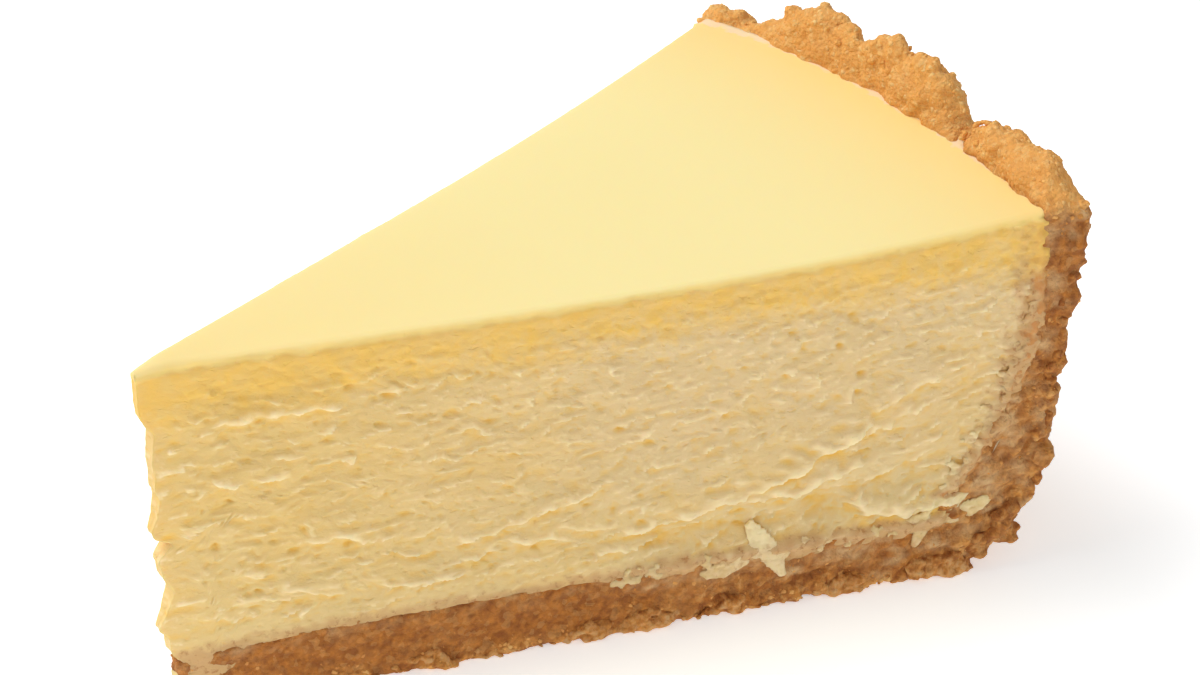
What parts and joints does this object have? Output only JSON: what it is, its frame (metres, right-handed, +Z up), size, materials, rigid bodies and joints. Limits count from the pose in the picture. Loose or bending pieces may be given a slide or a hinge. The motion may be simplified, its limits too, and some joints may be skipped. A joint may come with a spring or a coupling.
{
  "type": "baked cheesecake slice",
  "caption": "Wedge of baked cheesecake with a smooth pale top, a torn creamy cut face and a pressed biscuit-crumb crust that rises into a craggy rim.",
  "frame": {"origin": "on the flat underside, at the middle of the slice's box", "axes": "+X from the tip of the wedge towards the crust's wall, +Y towards the second cut, +Z up"},
  "size_m": [0.1158, 0.0724, 0.06],
  "materials": {
    "filling": "soft satin baked cream cheese, pale yellow on top and cream where it is cut",
    "crumb_crust": "dry matte pressed biscuit crumbs, golden brown"
  },
  "bodies": {
    "root": {"filling": "filling", "crumb_crust": "crumb_crust"}
  },
  "joints": []
}
